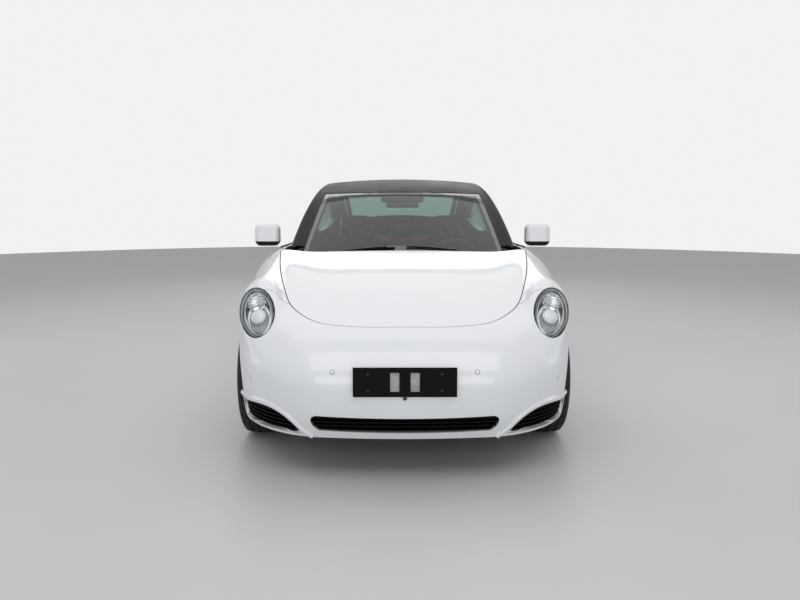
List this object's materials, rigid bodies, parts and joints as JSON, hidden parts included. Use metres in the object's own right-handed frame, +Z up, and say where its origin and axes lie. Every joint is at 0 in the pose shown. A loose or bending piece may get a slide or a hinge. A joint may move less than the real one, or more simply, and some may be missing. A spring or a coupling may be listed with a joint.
{
  "type": "electric fastback sedan",
  "caption": "Four-door battery-electric fastback saloon with rounded wings, upright oval headlamps, a black roof, opening doors, bonnet and tailgate, and steered front wheels.",
  "frame": {"origin": "on the ground, midway along the overall length and width", "axes": "+Z up, nose towards -Y, +X to the car's left"},
  "size_m": [2.016, 4.8698, 1.501],
  "materials": {
    "white_paint": "gloss",
    "black_paint": "gloss",
    "dark_steel": "satin",
    "black_plastic": "matt",
    "glass": "gloss",
    "lamp": "gloss",
    "red_lamp": "gloss",
    "rubber": "matt",
    "alloy": "satin",
    "iron": "satin",
    "leather": "satin",
    "trim": "satin",
    "battery_case": "satin"
  },
  "bodies": {
    "body": {"body_side_left": "white_paint", "body_side_right": "white_paint", "front_fender_left": "white_paint", "front_fender_right": "white_paint", "floor_pan": "dark_steel", "battery_pack": "battery_case", "front_bumper": "white_paint", "bumper_grilles": "black_plastic", "rear_bumper": "white_paint", "roof": "black_paint", "windscreen": "glass", "quarter_glass_left": "glass", "quarter_glass_right": "glass", "headlamp_left": "lamp", "headlamp_right": "lamp", "front_seat_left": "leather", "front_seat_right": "leather", "rear_seat": "leather", "dashboard": "trim", "centre_console": "trim", "front_compartment": "black_plastic", "front_subframe": "dark_steel", "rear_axle": "dark_steel", "drive_motor": "alloy", "front_plate_holder": "black_plastic"},
    "bonnet": {"bonnet": "white_paint"},
    "tailgate": {"tailgate": "white_paint", "tailgate_glass": "glass", "tail_lamp": "red_lamp"},
    "steering_wheel": {"steering_wheel": "leather"},
    "door_front_left": {"door_front_left": "white_paint", "door_front_glass_left": "glass", "mirror_left": "white_paint"},
    "door_rear_left": {"door_rear_left": "white_paint", "door_rear_glass_left": "glass"},
    "knuckle_left": {"knuckle_left": "iron"},
    "wheel_front_left": {"wheel_front_left": "alloy", "tyre_front_left": "rubber"},
    "wheel_rear_left": {"wheel_rear_left": "alloy", "tyre_rear_left": "rubber"},
    "door_front_right": {"door_front_right": "white_paint", "door_front_glass_right": "glass", "mirror_right": "white_paint"},
    "door_rear_right": {"door_rear_right": "white_paint", "door_rear_glass_right": "glass"},
    "knuckle_right": {"knuckle_right": "iron"},
    "wheel_front_right": {"wheel_front_right": "alloy", "tyre_front_right": "rubber"},
    "wheel_rear_right": {"wheel_rear_right": "alloy", "tyre_rear_right": "rubber"}
  },
  "joints": [
    {"name": "door_front_left_hinge", "type": "hinge", "parent": "body", "child": "door_front_left", "pos_m": [0.912, -1.002, 0.6], "axis": [0, 0, -1], "range_deg": [0, 65]},
    {"name": "door_rear_left_hinge", "type": "hinge", "parent": "body", "child": "door_rear_left", "pos_m": [0.912, 0.141, 0.6], "axis": [0, 0, -1], "range_deg": [0, 65]},
    {"name": "steer_left", "type": "hinge", "parent": "body", "child": "knuckle_left", "pos_m": [0.72, -1.497, 0.347], "axis": [0, 0, 1], "range_deg": [-35, 35]},
    {"name": "wheel_front_left_spin", "type": "hinge", "parent": "knuckle_left", "child": "wheel_front_left", "pos_m": [0.79, -1.497, 0.347], "axis": [1, 0, 0], "continuous": true},
    {"name": "wheel_rear_left_spin", "type": "hinge", "parent": "body", "child": "wheel_rear_left", "pos_m": [0.8, 1.373, 0.347], "axis": [1, 0, 0], "continuous": true},
    {"name": "door_front_right_hinge", "type": "hinge", "parent": "body", "child": "door_front_right", "pos_m": [-0.912, -1.002, 0.6], "axis": [0, 0, 1], "range_deg": [0, 65]},
    {"name": "door_rear_right_hinge", "type": "hinge", "parent": "body", "child": "door_rear_right", "pos_m": [-0.912, 0.141, 0.6], "axis": [0, 0, 1], "range_deg": [0, 65]},
    {"name": "steer_right", "type": "hinge", "parent": "body", "child": "knuckle_right", "pos_m": [-0.72, -1.497, 0.347], "axis": [0, 0, 1], "range_deg": [-35, 35]},
    {"name": "wheel_front_right_spin", "type": "hinge", "parent": "knuckle_right", "child": "wheel_front_right", "pos_m": [-0.79, -1.497, 0.347], "axis": [1, 0, 0], "continuous": true},
    {"name": "wheel_rear_right_spin", "type": "hinge", "parent": "body", "child": "wheel_rear_right", "pos_m": [-0.8, 1.373, 0.347], "axis": [1, 0, 0], "continuous": true},
    {"name": "bonnet_hinge", "type": "hinge", "parent": "body", "child": "bonnet", "pos_m": [0, -1.236, 1.054], "axis": [-1, 0, 0], "range_deg": [0, 60]},
    {"name": "tailgate_hinge", "type": "hinge", "parent": "body", "child": "tailgate", "pos_m": [0, 0.652, 1.498], "axis": [1, 0, 0], "range_deg": [0, 70]},
    {"name": "steering_wheel_turn", "type": "hinge", "parent": "body", "child": "steering_wheel", "pos_m": [0.355, -0.56, 0.905], "axis": [0, 0.9063, 0.4226], "range_deg": [-490, 490]}
  ],
  "couplings": [
    {"joint": "steer_right", "follows": "steer_left", "ratio": 1},
    {"joint": "steering_wheel_turn", "follows": "steer_left", "ratio": 14}
  ]
}
